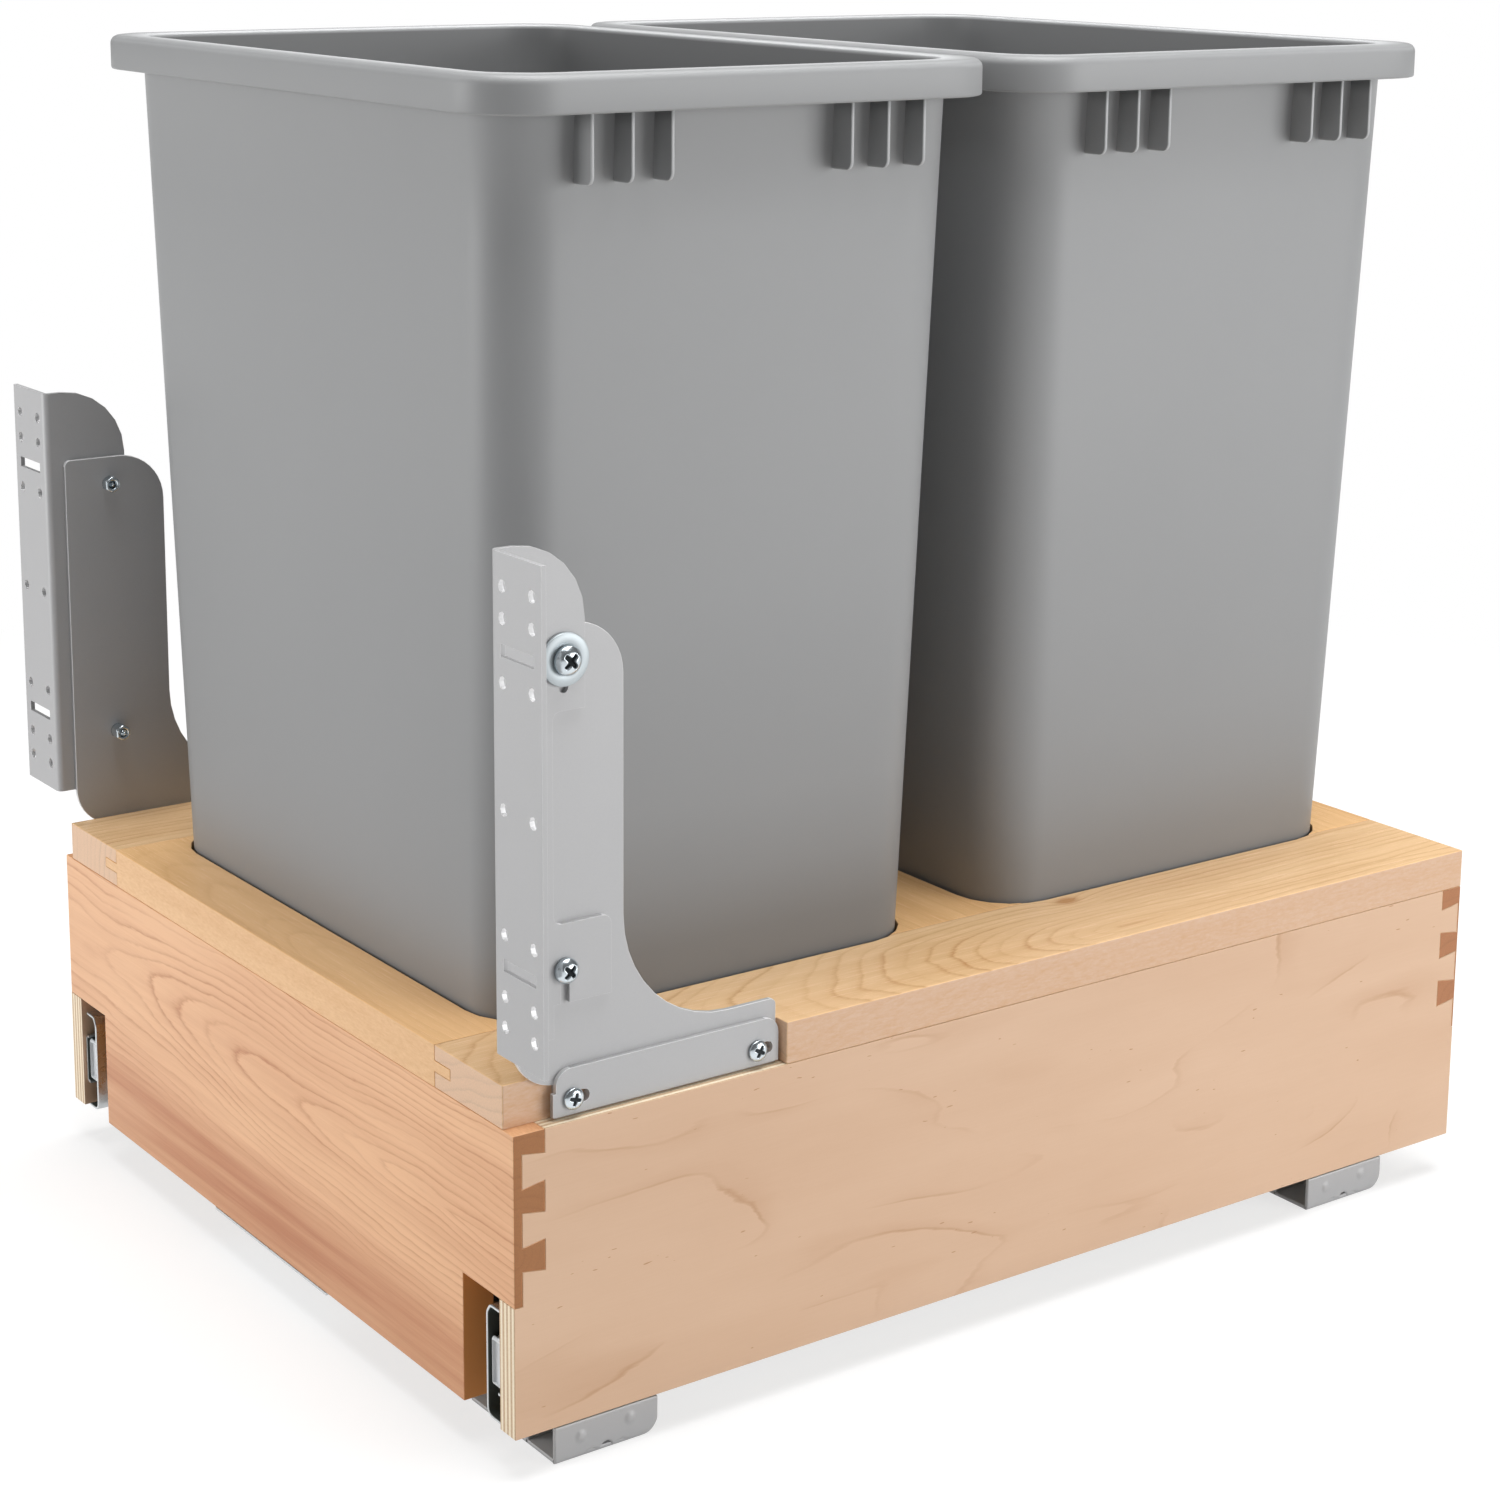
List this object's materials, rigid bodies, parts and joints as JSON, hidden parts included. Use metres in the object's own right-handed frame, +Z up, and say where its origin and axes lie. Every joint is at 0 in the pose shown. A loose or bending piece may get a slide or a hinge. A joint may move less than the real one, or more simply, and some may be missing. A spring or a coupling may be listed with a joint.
{
  "type": "pull-out waste bin unit",
  "caption": "Pull-out waste unit for a floor cabinet: tapered plastic bins in a framed dovetailed wooden tray on ball-bearing slides, with floor feet and adjustable door brackets.",
  "frame": {"origin": "on the floor plane under the middle of the unit's bounding box", "axes": "+X to the right when facing the unit, +Y towards the back of the cabinet, +Z up; the doors' side is -Y"},
  "size_m": [0.5128, 0.571, 0.5803],
  "materials": {
    "side_maple": "lacquered plywood, light maple, satin",
    "front_maple": "lacquered solid maple with open figure, satin",
    "frame_maple": "clear lacquered maple, satin to gloss",
    "plywood": "lacquered plywood panel",
    "grey_plastic": "moulded polypropylene, mid grey, satin",
    "pale_nylon": "moulded nylon, pale grey",
    "galvanised": "zinc plated cold rolled steel, satin",
    "dark_cage": "dark ball cage with steel balls",
    "coated_steel": "silver grey powder coat on pressed steel",
    "bright_zinc": "bright zinc plated steel"
  },
  "bodies": {
    "base": {"right_cabinet_member": "galvanised", "right_front_floor_bracket": "coated_steel", "right_rear_floor_bracket": "coated_steel", "right_floor_bracket_bolt_1": "bright_zinc", "right_floor_bracket_bolt_2": "bright_zinc", "left_cabinet_member": "galvanised", "left_front_floor_bracket": "coated_steel", "left_rear_floor_bracket": "coated_steel", "left_floor_bracket_bolt_1": "bright_zinc", "left_floor_bracket_bolt_2": "bright_zinc"},
    "tray": {"front_board": "front_maple", "rear_board": "side_maple", "bottom_panel": "plywood", "front_under_plate": "galvanised", "front_rail": "frame_maple", "middle_rail": "frame_maple", "rear_rail": "frame_maple", "right_side_board": "side_maple", "right_side_rail": "frame_maple", "right_drawer_member": "galvanised", "right_slide_bumper": "pale_nylon", "right_slide_screw_1": "bright_zinc", "right_slide_screw_2": "bright_zinc", "right_foot_screw_front": "bright_zinc", "right_foot_screw_rear": "bright_zinc", "left_side_board": "side_maple", "left_side_rail": "frame_maple", "left_drawer_member": "galvanised", "left_slide_bumper": "pale_nylon", "left_slide_screw_1": "bright_zinc", "left_slide_screw_2": "bright_zinc", "left_foot_screw_front": "bright_zinc", "left_foot_screw_rear": "bright_zinc"},
    "front_bin": {"front_bin": "grey_plastic"},
    "rear_bin": {"rear_bin": "grey_plastic"},
    "right_middle_member": {"right_middle_member": "galvanised"},
    "right_outer_ball_retainer": {"right_outer_ball_retainer": "dark_cage"},
    "right_inner_ball_retainer": {"right_inner_ball_retainer": "dark_cage"},
    "right_bracket": {"right_bracket_side_plate": "coated_steel", "right_bracket_foot_clamp": "coated_steel", "right_upper_washer": "bright_zinc", "right_upper_screw": "bright_zinc", "right_lower_screw": "bright_zinc", "right_upper_nut": "bright_zinc", "right_lower_nut": "bright_zinc"},
    "right_door_angle": {"right_door_angle": "coated_steel"},
    "left_middle_member": {"left_middle_member": "galvanised"},
    "left_outer_ball_retainer": {"left_outer_ball_retainer": "dark_cage"},
    "left_inner_ball_retainer": {"left_inner_ball_retainer": "dark_cage"},
    "left_bracket": {"left_bracket_side_plate": "coated_steel", "left_bracket_foot_clamp": "coated_steel", "left_upper_washer": "bright_zinc", "left_upper_screw": "bright_zinc", "left_lower_screw": "bright_zinc", "left_upper_nut": "bright_zinc", "left_lower_nut": "bright_zinc"},
    "left_door_angle": {"left_door_angle": "coated_steel"}
  },
  "joints": [
    {"name": "pull_out", "type": "slide", "parent": "base", "child": "tray", "axis": [0, -1, 0], "range_m": [0, 0.53]},
    {"name": "front_bin_lift", "type": "slide", "parent": "tray", "child": "front_bin", "axis": [0, 0, 1], "range_m": [0, 0.56]},
    {"name": "rear_bin_lift", "type": "slide", "parent": "tray", "child": "rear_bin", "axis": [0, 0, 1], "range_m": [0, 0.56]},
    {"name": "right_middle_member_run", "type": "slide", "parent": "base", "child": "right_middle_member", "axis": [0, -1, 0], "range_m": [0, 0.267]},
    {"name": "right_outer_ball_retainer_run", "type": "slide", "parent": "base", "child": "right_outer_ball_retainer", "axis": [0, -1, 0], "range_m": [0, 0.1345]},
    {"name": "right_inner_ball_retainer_run", "type": "slide", "parent": "base", "child": "right_inner_ball_retainer", "axis": [0, -1, 0], "range_m": [0, 0.3995]},
    {"name": "right_bracket_depth", "type": "slide", "parent": "tray", "child": "right_bracket", "axis": [0, -1, 0], "range_m": [0, 0.005]},
    {"name": "right_door_height", "type": "slide", "parent": "right_bracket", "child": "right_door_angle", "axis": [0, 0, 1], "range_m": [0, 0.0115]},
    {"name": "left_middle_member_run", "type": "slide", "parent": "base", "child": "left_middle_member", "axis": [0, -1, 0], "range_m": [0, 0.267]},
    {"name": "left_outer_ball_retainer_run", "type": "slide", "parent": "base", "child": "left_outer_ball_retainer", "axis": [0, -1, 0], "range_m": [0, 0.1345]},
    {"name": "left_inner_ball_retainer_run", "type": "slide", "parent": "base", "child": "left_inner_ball_retainer", "axis": [0, -1, 0], "range_m": [0, 0.3995]},
    {"name": "left_bracket_depth", "type": "slide", "parent": "tray", "child": "left_bracket", "axis": [0, -1, 0], "range_m": [0, 0.005]},
    {"name": "left_door_height", "type": "slide", "parent": "left_bracket", "child": "left_door_angle", "axis": [0, 0, 1], "range_m": [0, 0.0115]}
  ],
  "couplings": [
    {"joint": "right_middle_member_run", "follows": "pull_out", "ratio": 0.5},
    {"joint": "right_outer_ball_retainer_run", "follows": "pull_out", "ratio": 0.25},
    {"joint": "right_inner_ball_retainer_run", "follows": "pull_out", "ratio": 0.75},
    {"joint": "left_middle_member_run", "follows": "pull_out", "ratio": 0.5},
    {"joint": "left_outer_ball_retainer_run", "follows": "pull_out", "ratio": 0.25},
    {"joint": "left_inner_ball_retainer_run", "follows": "pull_out", "ratio": 0.75}
  ]
}
